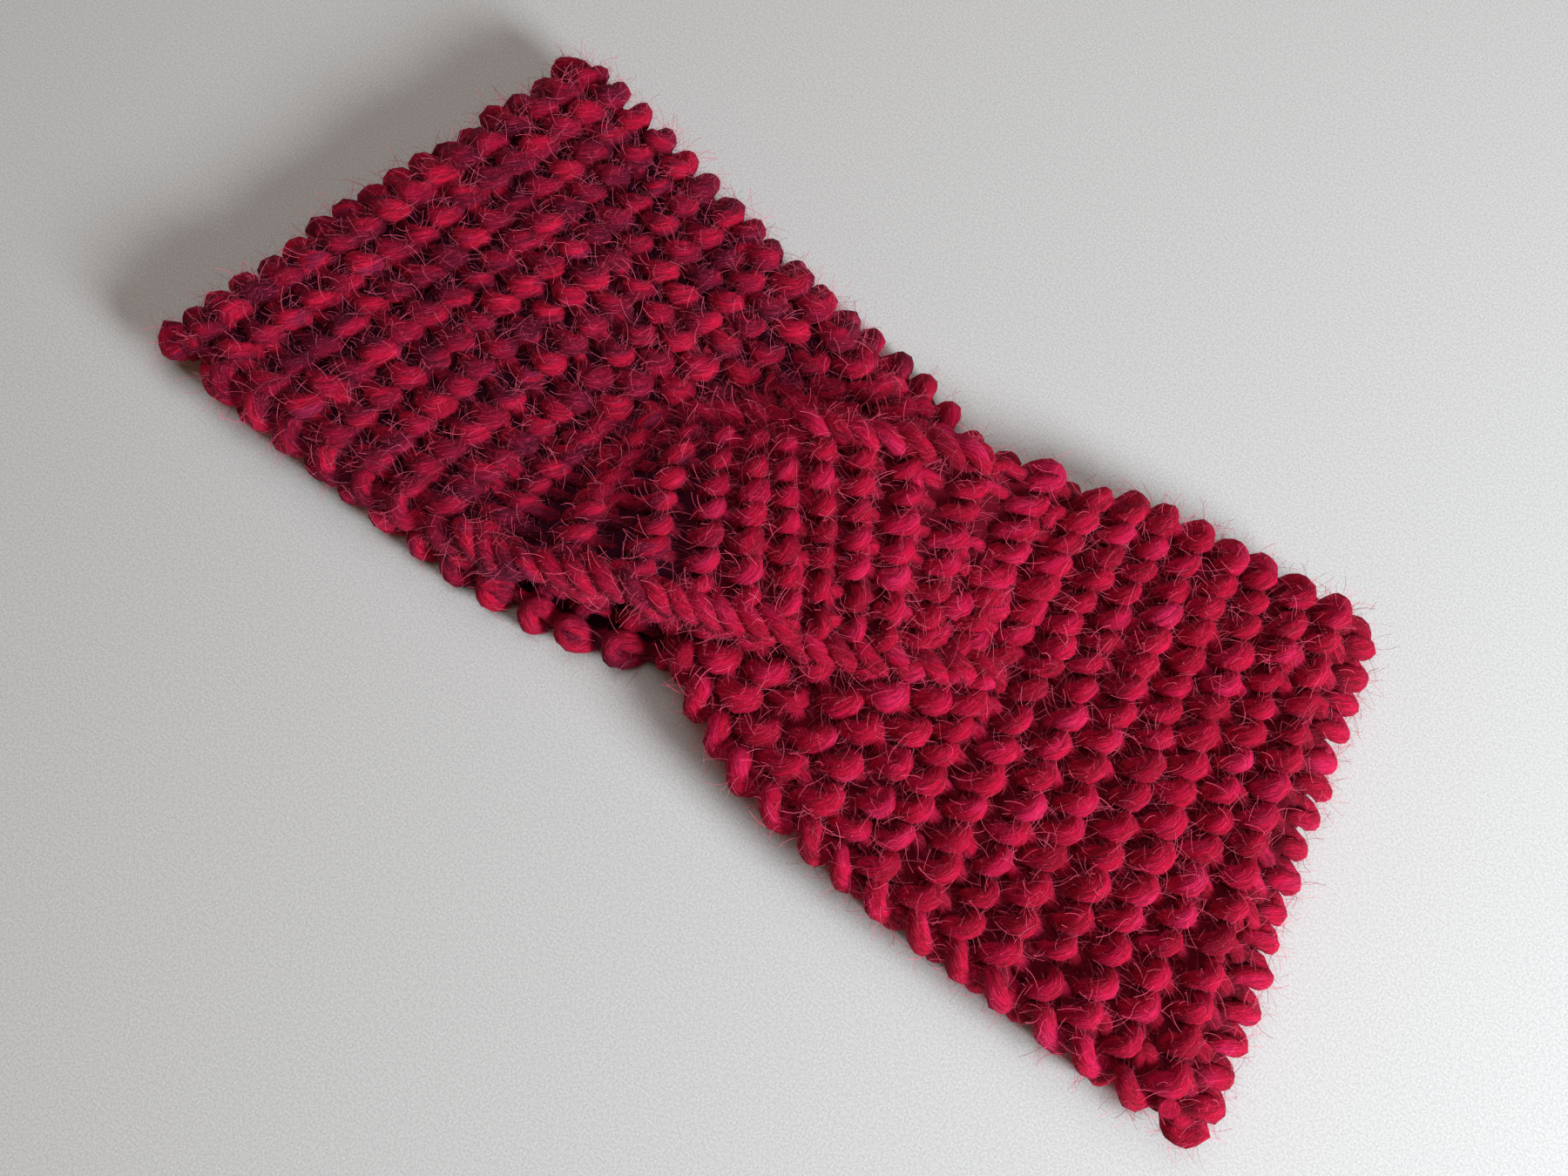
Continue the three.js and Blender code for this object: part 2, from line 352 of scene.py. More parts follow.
# %% [markdown]
# ## The edge loops of the strand on top
# Each row ends in a fat loop. On the strand on top they stand in a line that looks like a cord, and a coil of
# the same yarn along the edge gives that look, with one turn for each loop.

# %% a cord of edge loops
CORD_PITCH = 5.2                # mm along the edge of a strand from loop to loop
CORD_RADIUS = 2.0               # mm from the coil's own axis to the middle of the yarn
CORD_LEAN = 1.7                 # mm along the edge that each loop leans
CORD_INSET = 0.4                # mm that the coil's axis lies inside the edge line
CORD_HEIGHT = 2.4               # and above the middle of the fabric
CORD_POINTS = 3                 # points to a mm of edge
CORD_DRIFT, DRIFT_MM = 1.1, 8   # radians that a loop comes early or late, in a wave of 2 pi times 8 mm
CORD_THIN, CORD_SWELL = 0.8, 0.22    # share of the yarn's radius when hidden, and what showing adds


def edge_cord(q_from, q_to, v, strand, inward):
    """The fat loops along a strand's own edge: a coil of yarn, leaning over the edge line."""
    q = np.linspace(q_from, q_to, round(abs(q_to - q_from) * CORD_POINTS))
    line = fabric(q, v, strand)
    normal = outward(q, v, strand)
    along = np.gradient(line, axis=0)
    length = np.concatenate([[0], np.cumsum(np.linalg.norm(np.diff(line, axis=0), axis=1))])
    sideways = np.cross(normal, along)
    sideways = inward * sideways / np.linalg.norm(sideways, axis=1, keepdims=True)
    turn = inward * (2 * math.pi * length / CORD_PITCH + CORD_DRIFT * np.sin(length / DRIFT_MM))
    forward = along / np.linalg.norm(along, axis=1, keepdims=True)
    points = (line + sideways * (CORD_INSET + CORD_RADIUS * np.cos(turn))[:, None]
              + normal * (CORD_HEIGHT + CORD_RADIUS * np.sin(turn))[:, None]
              - forward * (inward * CORD_LEAN * np.cos(turn))[:, None])
    shows = 0.5 + 0.5 * np.sin(turn)
    return [points, YARN_RADIUS * (CORD_THIN + CORD_SWELL * shows), q, shows]


# %% [markdown]
# ## Small helpers for node trees
# One function adds any node with its settings and links, so a tree reads as a list of steps. Colours are given
# as sRGB hex, which is how a dye is read from a chart, and one function turns them to the linear values that
# Blender works in.

# %% helpers
def linear(hex_colour):
    channels = [int(hex_colour[i:i + 2], 16) / 255 for i in (1, 3, 5)]
    return [c / 12.92 if c <= 0.04045 else ((c + 0.055) / 1.055) ** 2.4 for c in channels] + [1.0]


def add_node(tree, kind, inputs=None, stops=None, **settings):
    """Adds a node; an input is a value or another node's output, and stops are a colour ramp's."""
    made = tree.nodes.new(kind)
    for name, value in settings.items():
        setattr(made, name, value)
    for name, value in (inputs or {}).items():
        if isinstance(value, bpy.types.NodeSocket):
            tree.links.new(value, made.inputs[name])
        else:
            made.inputs[name].default_value = value
    for index, (position, colour) in enumerate(stops or []):
        elements = made.color_ramp.elements
        stop = elements[index] if index < 2 else elements.new(position)
        stop.position, stop.color = position, linear(colour)
    return made


print("middle crimson in linear values:", [round(c, 3) for c in linear("#C2083C")])

# %% [markdown]
# ## Roving wool
# Roving is soft, hardly twisted wool. Its fibres run along the yarn with a slow turn, it is matt, and a haze
# of fine fibres gives it a soft glow at grazing angles, which is what sheen is for. This yarn was dyed in
# long stretches: crimson at one end of the strip, burgundy and plum flecked with red at the other.
#
# Painting it flat and adding a weave would look printed. Instead three noises are stretched along the yarn's
# own skin, so that flecks, locks and single fibres all run the way that the yarn does, round every loop.

# %% wool material
FIBRE_TURN_MM = 26.0            # length of yarn in which its fibres wind round once
LOCK_DEPTH = 0.5                # mm that the locks of fibre stand out
WOOL_PATTERNS = {               # size round the yarn and along it in mm, detail, distortion
    "dye": (5.9, 11.0, 3.0, 0.4),       # how far a dyed fleck runs
    "hair": (0.41, 3.1, 4.0, 0.7),      # locks of fibre
    "fine": (0.17, 1.25, 2.0, 0.5),     # single fibres, drawn coarse enough to show
}
CRIMSON = [(0.34, "#920224"), (0.47, "#B4022E"), (0.56, "#C2083C"), (0.68, "#D01E56")]
PAINTED_LOCK_SHADE = [(0.36, "#AE8E96"), (0.58, "#FFFFFF")]      # painted shade: darker in the hollows between two locks
PAINTED_DEPTH_SHADE = [(0.0, "#84606A"), (0.45, "#FFFFFF")]      # painted shade: the yarn is painted darker where it lies deep in the knit
PAINTED_TIP_HIGHLIGHT, LOOSE_TIP = "#E8406C", "#F4708E"              # painted highlight: pale tips for fibres that catch the light, on the yarn and off it
LOOSE_SHARE = 0.55                                       # how much paler a single loose fibre is painted, partly its own pale hair and partly painted highlight
BURGUNDY = [(0.36, "#540824"), (0.45, "#80082C"), (0.52, "#A20832"), (0.61, "#CA0E38"), (0.68, "#901C44")]


def wool(name, loose=False):
    """The yarn's finish with painted shade and highlights, or for loose fibres the same dye in a single pale
    hair, painted paler still as a highlight.
    """
    material = bpy.data.materials.new(name)
    material.use_nodes = True
    tree = material.node_tree
    tree.nodes.clear()
    skin = add_node(tree, "ShaderNodeAttribute", attribute_name="yarn_skin").outputs["Vector"]
    tone = add_node(tree, "ShaderNodeAttribute", attribute_name="tone").outputs["Fac"]
    shows = add_node(tree, "ShaderNodeAttribute", attribute_name="shows").outputs["Fac"]
    noise = {}
    for label, (wide, long, detail, distortion) in WOOL_PATTERNS.items():
        scale = (YARN_RADIUS / wide, YARN_RADIUS / wide, 1 / long)
        place = add_node(tree, "ShaderNodeMapping", {"Vector": skin, "Scale": scale}).outputs[0]
        settings = {"Vector": place, "Scale": 1.0, "Detail": detail, "Distortion": distortion}
        noise[label] = add_node(tree, "ShaderNodeTexNoise", settings).outputs["Fac"]
    crimson = add_node(tree, "ShaderNodeValToRGB", {"Fac": noise["dye"]}, CRIMSON).outputs["Color"]
    burgundy = add_node(tree, "ShaderNodeValToRGB", {"Fac": noise["dye"]}, BURGUNDY).outputs["Color"]
    # a colour Mix has its factor at socket 0, its colours at 6 and 7, and its result at output 2
    colour = add_node(tree, "ShaderNodeMix", {0: tone, 6: crimson, 7: burgundy}, data_type="RGBA").outputs[2]
    if loose:
        # painted highlight: a loose fibre's colour is mixed towards a pale pink tip
        colour = add_node(tree, "ShaderNodeMix", {0: LOOSE_SHARE, 6: colour, 7: linear(LOOSE_TIP)},
                          data_type="RGBA").outputs[2]
    else:
        # painted shade: the yarn is painted darker in the hollows between locks and where it lies deep in the
        # knit
        for source, stops in ((noise["hair"], PAINTED_LOCK_SHADE), (shows, PAINTED_DEPTH_SHADE)):
            shade = add_node(tree, "ShaderNodeValToRGB", {"Fac": source}, stops)
            colour = add_node(tree, "ShaderNodeMix", {0: 1.0, 6: colour, 7: shade.outputs["Color"]},
                              data_type="RGBA", blend_type="MULTIPLY").outputs[2]
        # painted highlight: the finest noise mixes pale fibre tips into the yarn's colour
        tip_highlight_share = add_node(tree, "ShaderNodeMapRange",
                        {"Value": noise["fine"], "From Min": 0.56, "From Max": 0.74, "To Max": 0.55})
        colour = add_node(tree, "ShaderNodeMix", {0: tip_highlight_share.outputs[0], 6: colour, 7: linear(PAINTED_TIP_HIGHLIGHT)},
                          data_type="RGBA").outputs[2]
    shader = add_node(tree, "ShaderNodeBsdfPrincipled", {
        "Base Color": colour, "Roughness": 0.85, "Specular IOR Level": 0.12,
        "Sheen Weight": 0.3 if loose else 0.12, "Sheen Roughness": 0.6, "Sheen Tint": linear("#E0406C")})
    if not loose:
        relief = add_node(tree, "ShaderNodeMath", {0: noise["hair"], 1: noise["fine"]}, operation="ADD")
        bump = add_node(tree, "ShaderNodeBump",
                        {"Height": relief.outputs[0], "Strength": 0.7, "Distance": LOCK_DEPTH * MM})
        tree.links.new(bump.outputs[0], shader.inputs["Normal"])
    add_node(tree, "ShaderNodeOutputMaterial", {"Surface": shader.outputs[0]})
    return material


# besides its dye, the yarn's finish carries painted shade and painted highlights
yarn_wool = wool("roving wool, long-dyed crimson and burgundy")
fibre_wool = wool("loose wool fibres with a painted highlight", loose=True)
print("finishes:", yarn_wool.name, "and", fibre_wool.name)

# %% [markdown]
# ## The yarn as Geometry Nodes
# A yarn is a round section that follows a path, so the tree takes a line of points that carry a radius and
# sweeps a ring along it. It also stores where
# each point sits on the yarn's skin, so that the material's fibres wind along the yarn.

# %% yarn tree
LUMP_MM = 2.6       # length of the slight lumps in a hand-spun yarn
LUMP_HEIGHT = 1.4   # mm from the deepest hollow to the highest lump
YARN_SIDES = 10     # enough for a round look, and few enough for some 1800 stitches


def socket(tree, name, kind, default=None):
    made = tree.interface.new_socket(name=name, in_out="INPUT", socket_type=kind)
    if default is not None:
        made.default_value = default
    return made


def yarn_tree():
    tree = bpy.data.node_groups.new("Sweep yarn", "GeometryNodeTree")
    socket(tree, "Geometry", "NodeSocketGeometry")
    socket(tree, "Sides", "NodeSocketInt", 8)
    socket(tree, "Fluff", "NodeSocketFloat", 0.0)
    socket(tree, "Wool", "NodeSocketMaterial")
    tree.interface.new_socket(name="Geometry", in_out="OUTPUT", socket_type="NodeSocketGeometry")
    given = add_node(tree, "NodeGroupInput")
    line = add_node(tree, "GeometryNodeMeshToCurve", {"Mesh": given.outputs["Geometry"]})
    width = add_node(tree, "GeometryNodeInputNamedAttribute", {"Name": "yarn_radius"}, data_type="FLOAT")
    wide = add_node(tree, "GeometryNodeSetCurveRadius",
                    {"Curve": line.outputs[0], "Radius": width.outputs[0]})
    ring = add_node(tree, "GeometryNodeCurvePrimitiveCircle",
                    {"Resolution": given.outputs["Sides"], "Radius": 1.0})
    index = add_node(tree, "GeometryNodeInputIndex")
    turn = add_node(tree, "ShaderNodeMath", {0: index.outputs[0], 1: 2 * math.pi}, operation="MULTIPLY")
    angle = add_node(tree, "ShaderNodeMath",
                     {0: turn.outputs[0], 1: given.outputs["Sides"]}, operation="DIVIDE")
    marked = add_node(tree, "GeometryNodeStoreNamedAttribute",
                      {"Geometry": ring.outputs[0], "Name": "angle", "Value": angle.outputs[0]},
                      data_type="FLOAT", domain="POINT")
    tube = add_node(tree, "GeometryNodeCurveToMesh",
                    {"Curve": wide.outputs[0], "Profile Curve": marked.outputs[0], "Fill Caps": True})
    if "Scale" in tube.inputs:
        radius = add_node(tree, "GeometryNodeInputRadius")
        tree.links.new(radius.outputs[0], tube.inputs["Scale"])
    around = add_node(tree, "GeometryNodeInputNamedAttribute", {"Name": "angle"}, data_type="FLOAT")
    along = add_node(tree, "GeometryNodeInputNamedAttribute", {"Name": "yarn_length"}, data_type="FLOAT")
    winding = add_node(tree, "ShaderNodeMath",
                       {0: along.outputs[0], 1: 2 * math.pi / FIBRE_TURN_MM}, operation="MULTIPLY")
    wound = add_node(tree, "ShaderNodeMath", {0: around.outputs[0], 1: winding.outputs[0]}, operation="ADD")
    cos = add_node(tree, "ShaderNodeMath", {0: wound.outputs[0]}, operation="COSINE")
    sin = add_node(tree, "ShaderNodeMath", {0: wound.outputs[0]}, operation="SINE")
    skin = add_node(tree, "ShaderNodeCombineXYZ",
                    {"X": cos.outputs[0], "Y": sin.outputs[0], "Z": along.outputs[0]})
    stored = add_node(tree, "GeometryNodeStoreNamedAttribute",
                      {"Geometry": tube.outputs[0], "Name": "yarn_skin", "Value": skin.outputs[0]},
                      data_type="FLOAT_VECTOR", domain="POINT")
    lumps = add_node(tree, "ShaderNodeTexNoise", {"Scale": 1 / (LUMP_MM * MM), "Detail": 1.0})
    puff = add_node(tree, "ShaderNodeMath", {0: lumps.outputs["Fac"], 1: 0.5}, operation="SUBTRACT")
    amount = add_node(tree, "ShaderNodeMath",
                      {0: puff.outputs[0], 1: given.outputs["Fluff"]}, operation="MULTIPLY")
    normal = add_node(tree, "GeometryNodeInputNormal")
    push = add_node(tree, "ShaderNodeVectorMath",
                    {0: normal.outputs[0], "Scale": amount.outputs[0]}, operation="SCALE")
    fluffed = add_node(tree, "GeometryNodeSetPosition",
                       {"Geometry": stored.outputs[0], "Offset": push.outputs[0]})
    smooth = add_node(tree, "GeometryNodeSetShadeSmooth", {"Geometry": fluffed.outputs[0]})
    solid = add_node(tree, "GeometryNodeRealizeInstances", {"Geometry": smooth.outputs[0]})
    dyed = add_node(tree, "GeometryNodeSetMaterial",
                    {"Geometry": solid.outputs[0], "Material": given.outputs["Wool"]})
    add_node(tree, "NodeGroupOutput", {"Geometry": dyed.outputs[0]})
    return tree


sweep_yarn = yarn_tree()
print(sweep_yarn.name, "has", len(sweep_yarn.nodes), "nodes")


# %% [markdown]
# A finished tree is baked to a plain mesh, so that nothing is left to compute when the piece is used.

# %% baking
def bake(source, tree, name, **inputs):
    """Runs the tree on the source object and returns its result as a new plain object."""
    modifier = source.modifiers.new("nodes", "NODES")
    modifier.node_group = tree
    for item in tree.interface.items_tree:
        if item.in_out == "INPUT" and item.name in inputs:
            modifier[item.identifier] = inputs[item.name]
    bpy.context.view_layer.update()
    graph = bpy.context.evaluated_depsgraph_get()
    mesh = bpy.data.meshes.new_from_object(source.evaluated_get(graph),
                                           preserve_all_data_layers=True, depsgraph=graph)
    source.modifiers.remove(modifier)
    mesh.name = name
    made = bpy.data.objects.new(name, mesh)
    bpy.context.scene.collection.objects.link(made)
    return made


def keep_above(piece, lowest):
    """Presses whatever would reach below the table flat against it."""
    places = np.empty(len(piece.data.vertices) * 3)
    piece.data.vertices.foreach_get("co", places)
    places[2::3] = np.maximum(places[2::3], lowest)
    piece.data.vertices.foreach_set("co", places)


# %% knitted runs to one mesh
YARN_LOWEST, FIBRES_LOWEST = 0.05 * MM, 0.15 * MM    # nothing reaches below this height over the table
TABLE_GAP = 0.1        # mm that the middle of the lowest yarn keeps above its own radius
HAZE_INSIDE = 0.15     # the inside of the loop is rubbed smooth


def yarn_piece(name, strands):
    """One mesh of swept yarn from a list of knitted runs."""
    mesh = bpy.data.meshes.new(name + "_line")
    counts = [len(run[0]) for run in strands]
    points = np.concatenate([s[0] for s in strands])
    points[:, 2] = np.maximum(points[:, 2], YARN_RADIUS + TABLE_GAP)
    edges = []
    offset = 0
    for count in counts:
        edges += [(offset + i, offset + i + 1) for i in range(count - 1)]
        offset += count
    mesh.from_pydata((points * MM).tolist(), edges, [])
    radius = np.concatenate([s[1] for s in strands])
    place = np.concatenate([s[2] for s in strands])
    lengths = []
    for s in strands:
        steps = np.linalg.norm(np.diff(s[0], axis=0), axis=1)
        lengths.append(np.concatenate([[0], np.cumsum(steps)]) + 1000 * place_seed(s[2]))
    height = np.clip(np.concatenate([s[3] for s in strands]), -1, 1)
    haze = np.clip(height, 0, 1) + HAZE_INSIDE * np.clip(-height, 0, 1)
    # shows sets where the yarn is painted darker, as painted shade deep in the knit; haze sets the loose fibres
    for label, values in (("yarn_radius", radius * MM), ("yarn_length", np.concatenate(lengths)),
                          ("tone", tone_of(place)), ("shows", np.abs(height)), ("haze", haze)):
        mesh.attributes.new(label, "FLOAT", "POINT").data.foreach_set("value", values.astype(np.float32))
    line = bpy.data.objects.new(name + "_line", mesh)
    bpy.context.scene.collection.objects.link(line)
    made = bake(line, sweep_yarn, name, Sides=YARN_SIDES, Fluff=LUMP_HEIGHT * MM, Wool=yarn_wool)
    bpy.data.objects.remove(line)
    keep_above(made, YARN_LOWEST)
    print(name, "triangles", sum(len(p.vertices) - 2 for p in made.data.polygons))
    return made


def place_seed(place):
    """A different stretch of dye for each run of yarn."""
    return round(float(place[0])) % 7


# %% [markdown]
# ## The stitches, region by region
# Each region is one mesh, because it moves with one part of the loop or bends between two.

# %% knit the regions
row_at = lambda q: int(round(q / ROW))
strand_rows = row_at(STRAND_FROM)
UNDER_EXTRA = 4      # the lower strand fans out, so it needs this many more rows on each side
fold_in, fold_out = row_at(HINGE_X - 3), row_at(HINGE_X + FOLD_ARC + 3)
back_middle = ROWS // 2


def region(first_row, last_row, start, stop, strand, extra_before=0, extra_after=0):
    """A run of rows; extra rows keep the ridges' order on the side where the region meets its neighbour."""
    count = last_row - first_row + extra_before + extra_after
    return first_row - extra_before, count, first_row * ROW, last_row * ROW, start, stop, strand


regions = {
    "front_left_stitches": [region(strand_rows, fold_in, 0, 1, "panel")],
    "left_fold_stitches": [region(fold_in, fold_out, 0, 1, "panel")],
    "back_left_stitches": [region(fold_out, back_middle, 0, 1, "panel")],
    "back_right_stitches": [region(back_middle, ROWS - fold_out, 0, 1, "panel")],
    "right_fold_stitches": [region(ROWS - fold_out, ROWS - fold_in, 0, 1, "panel")],
    "front_right_stitches": [region(ROWS - fold_in, ROWS - strand_rows, 0, 1, "panel")],
    "over_strand_stitches": [region(0, strand_rows, 0, 0.5, "over"),
                             region(ROWS - strand_rows, ROWS, 0.5, 1, "over")],
    "under_strand_stitches": [region(0, strand_rows, 0.5, 1, "under", extra_before=UNDER_EXTRA),
                              region(ROWS - strand_rows, ROWS, 0, 0.5, "under", extra_after=UNDER_EXTRA)],
}
edges = {
    "over_strand_stitches": [
        edge_cord(46, 0.5, 0.0, "over", 1),                      # near edge, left of the seam
        edge_cord(LOOP - 0.5, LOOP - 52, 0.5, "over", 1),        # near edge, right of it
        edge_cord(30, 0.5, 0.5, "over", -1),                     # far edge, left of it
        edge_cord(LOOP - 0.5, LOOP - 34, 1.0, "over", -1)],      # far edge, right of it
}
stitches = {name: yarn_piece(name, [knit(*run) for run in runs] + edges.get(name, []))
            for name, runs in regions.items()}

# %% [markdown]
# ## Loose fibres
# Roving sheds a haze of fine fibres. Points are scattered over the side of the yarn that shows, and each
# gets one short bent fibre, leaning its own way. A fibre is a flat open ribbon: a closed tube needs several
# times the faces and looks the same at this width. Hair curves could be finer still, but they aren't a mesh.
# The seed is fixed, so the haze is the same each time.

# %% fibre tree
FIBRES_PER_M2 = 700000
FIBRE_WIDTH = 0.0155      # mm, for a fibre of size 1; a long one is drawn wider so that it shows
FIBRE_ROOT, FIBRE_BEND, FIBRE_TIP = (0, 0, -0.05), (0.25, 0, 0.36), (0.88, 0.15, 0.54)    # mm, at size 1
FIBRE_TILT = 1.25         # radians that a fibre may lean either way
FIBRE_SIZES = (0.8, 5.4)  # the long fibres,
FLUFF_SIZES = (0.5, 1.5)  # and the down between them,
FLUFF_SHARE = 1.8         # of which there is more
HAZE_OUTSIDE, HAZE_BACK = 0.95, 0.3    # share of FIBRES_PER_M2 on the front and folds, and on the back


def millimetres(place):
    return tuple(c * MM for c in place)


def fibre_tree():
    tree = bpy.data.node_groups.new("Loose fibres", "GeometryNodeTree")
    socket(tree, "Geometry", "NodeSocketGeometry")
    socket(tree, "Density", "NodeSocketFloat", FIBRES_PER_M2)
    socket(tree, "Shortest", "NodeSocketFloat", 0.8)
    socket(tree, "Longest", "NodeSocketFloat", 5.4)
    socket(tree, "Segments", "NodeSocketInt", 4)
    socket(tree, "Seed", "NodeSocketInt", 3)
    socket(tree, "Wool", "NodeSocketMaterial")
    tree.interface.new_socket(name="Geometry", in_out="OUTPUT", socket_type="NodeSocketGeometry")
    given = add_node(tree, "NodeGroupInput")
    haze = add_node(tree, "GeometryNodeInputNamedAttribute", {"Name": "haze"}, data_type="FLOAT").outputs[0]
    density = add_node(tree, "ShaderNodeMath", {0: haze, 1: given.outputs["Density"]}, operation="MULTIPLY")
    spots = add_node(tree, "GeometryNodeDistributePointsOnFaces",
                     {"Mesh": given.outputs["Geometry"], "Density": density.outputs[0],
                      "Seed": given.outputs["Seed"]})
    bend = add_node(tree, "GeometryNodeCurveQuadraticBezier",
                    {"Resolution": given.outputs["Segments"], "Start": millimetres(FIBRE_ROOT),
                     "Middle": millimetres(FIBRE_BEND), "End": millimetres(FIBRE_TIP)})
    section = add_node(tree, "GeometryNodeCurvePrimitiveLine",
                       {"Start": (0, -FIBRE_WIDTH / 2 * MM, 0), "End": (0, FIBRE_WIDTH / 2 * MM, 0)})
    fibre = add_node(tree, "GeometryNodeCurveToMesh",
                     {"Curve": bend.outputs[0], "Profile Curve": section.outputs[0]})
    lean = add_node(tree, "FunctionNodeRandomValue", {"Seed": given.outputs["Seed"]},
                    data_type="FLOAT_VECTOR")
    lean.inputs["Min"].default_value = (-FIBRE_TILT, -FIBRE_TILT, -3.14)
    lean.inputs["Max"].default_value = (FIBRE_TILT, FIBRE_TILT, 3.14)
    turned = add_node(tree, "FunctionNodeRotateRotation",
                      {"Rotation": spots.outputs["Rotation"], "Rotate By": lean.outputs[0]},
                      rotation_space="LOCAL")
    size = add_node(tree, "FunctionNodeRandomValue", {"Seed": given.outputs["Seed"]}, data_type="FLOAT")
    sockets = [s for s in size.inputs if s.type == "VALUE"]
    tree.links.new(given.outputs["Shortest"], sockets[0])
    tree.links.new(given.outputs["Longest"], sockets[1])
    value = [s for s in size.outputs if s.type == "VALUE"][0]
    placed = add_node(tree, "GeometryNodeInstanceOnPoints",
                      {"Points": spots.outputs["Points"], "Instance": fibre.outputs[0],
                       "Rotation": turned.outputs[0], "Scale": value})
    solid = add_node(tree, "GeometryNodeRealizeInstances", {"Geometry": placed.outputs[0]})
    dyed = add_node(tree, "GeometryNodeSetMaterial",
                    {"Geometry": solid.outputs[0], "Material": given.outputs["Wool"]})
    add_node(tree, "NodeGroupOutput", {"Geometry": dyed.outputs[0]})
    return tree


loose_fibres = fibre_tree()
print(loose_fibres.name, "has", len(loose_fibres.nodes), "nodes")

# %% scatter the fibres
fibres = {}


def fibre_piece(name, piece, seed, density, sizes, segments):
    """The fibres of one piece of yarn, as a mesh that moves with it."""
    fuzz = bake(piece, loose_fibres, name, Density=density, Shortest=sizes[0], Longest=sizes[1],
                Segments=segments, Seed=seed, Wool=fibre_wool)
    keep_above(fuzz, FIBRES_LOWEST)
    print(fuzz.name, "triangles", sum(len(p.vertices) - 2 for p in fuzz.data.polygons))
    return fuzz


for seed, (name, piece) in enumerate(stitches.items()):
    density = FIBRES_PER_M2 * (HAZE_BACK if "back" in name else HAZE_OUTSIDE)
    fibres[name] = [fibre_piece(name.replace("stitches", "fibres"), piece, seed + 3, density, FIBRE_SIZES, 4)]
    if "back" not in name:
        fluff = name.replace("stitches", "fluff")
        fibres[name].append(fibre_piece(fluff, piece, seed + 40, FLUFF_SHARE * density, FLUFF_SIZES, 2))

# %% [markdown]
# ## The fabric behind the stitches
# Between a layer's two faces the legs of the loops fill the fabric. A thin web, painted dark as painted shade,
# stands for them: it closes the gaps between stitches as the real wool does, with the shade that lies there,
# and it carries the cloth's true size. Knitting the hidden legs as well would double the yarn, for something
# that only shows as depth.

# %% web
WEB_HALF = 0.6        # mm to either side of the middle surface
WEB_WIDTH = 0.93      # share of the fabric's width: the yarn turns outside the web at both edges
WEB_LAP = 4.0         # mm that the left half of the back laps the right one, where they part a little
WEB_STEP = 3          # mm from point to point along it
WEB_ACROSS = 32       # and steps over the band's whole width


def web_sheet(runs):
    """A thin closed sheet over each (q from, q to, v from, v to, strand); gives vertices and faces in mm."""
    vertices, faces, tones = [], [], []
    for q0, q1, v0, v1, strand in runs:
        steps_q, steps_v = max(6, round((q1 - q0) / WEB_STEP)), round((v1 - v0) * WEB_ACROSS)
        q, v = np.meshgrid(np.linspace(q0, q1, steps_q + 1), np.linspace(v0, v1, steps_v + 1), indexing="ij")
        v = 0.5 + (v - 0.5) * WEB_WIDTH
        middle_points, normal = fabric(q, v, strand), outward(q, v, strand)
        size = (steps_q + 1) * (steps_v + 1)
        first = sum(len(part) for part in vertices)
        for side in (-1, 1):
            vertices.append((middle_points + side * WEB_HALF * normal).reshape(-1, 3))
            tones.append(tone_of(q).reshape(-1))
        at = lambda i, j, top: first + top * size + i * (steps_v + 1) + j
        for i in range(steps_q):
            for j in range(steps_v):
                faces.append((at(i, j, 1), at(i, j + 1, 1), at(i + 1, j + 1, 1), at(i + 1, j, 1)))
                faces.append((at(i, j, 0), at(i + 1, j, 0), at(i + 1, j + 1, 0), at(i, j + 1, 0)))
            faces.append((at(i, 0, 0), at(i, 0, 1), at(i + 1, 0, 1), at(i + 1, 0, 0)))
            faces.append((at(i, steps_v, 0), at(i + 1, steps_v, 0), at(i + 1, steps_v, 1), at(i, steps_v, 1)))
        for j in range(steps_v):
            faces.append((at(0, j, 0), at(0, j + 1, 0), at(0, j + 1, 1), at(0, j, 1)))
            faces.append((at(steps_q, j, 0), at(steps_q, j, 1), at(steps_q, j + 1, 1), at(steps_q, j + 1, 0)))
    return np.concatenate(vertices), faces, np.concatenate(tones)


# %% wool painted dark as painted shade, where hardly any light reaches
deep_shade_wool = bpy.data.materials.new("wool painted with the shade of the knit's depth")
deep_shade_wool.use_nodes = True
tree = deep_shade_wool.node_tree
tree.nodes.clear()
depth_tone = add_node(tree, "ShaderNodeAttribute", attribute_name="tone").outputs["Fac"]
# painted shade: the web's wool is painted much darker than the yarn, crimson to burgundy by tone
deep = add_node(tree, "ShaderNodeValToRGB", {"Fac": depth_tone}, [(0.0, "#5C0518"), (1.0, "#33071A")])
matt = add_node(tree, "ShaderNodeBsdfPrincipled",
                {"Base Color": deep.outputs["Color"], "Roughness": 0.95, "Specular IOR Level": 0.1})
add_node(tree, "ShaderNodeOutputMaterial", {"Surface": matt.outputs[0]})
print("finish:", deep_shade_wool.name)

# %% one web for each region
webs = {}
for name, runs in regions.items():
    parts = []
    for _, _, q_from, q_to, start, stop, strand in runs:
        lap = WEB_LAP if name == "back_left_stitches" else 0
        parts.append((q_from, q_to + lap, start, stop, strand))
    points, faces, tones = web_sheet(parts)
    mesh = bpy.data.meshes.new(name.replace("stitches", "web"))
    mesh.from_pydata((points * MM).tolist(), [], faces)
    mesh.attributes.new("tone", "FLOAT", "POINT").data.foreach_set("value", tones.astype(np.float32))
    mesh.materials.append(deep_shade_wool)
    web = bpy.data.objects.new(mesh.name, mesh)
    bpy.context.scene.collection.objects.link(web)
    length = sum(q1 - q0 for q0, q1, *_ in parts) * MM
    width = 2 * HALF_WIDTH * (parts[0][3] - parts[0][2]) * MM
    webs[name] = (web, width, length)
print(len(webs), "webs,", sum(len(web.data.polygons) for web, *_ in webs.values()), "faces")
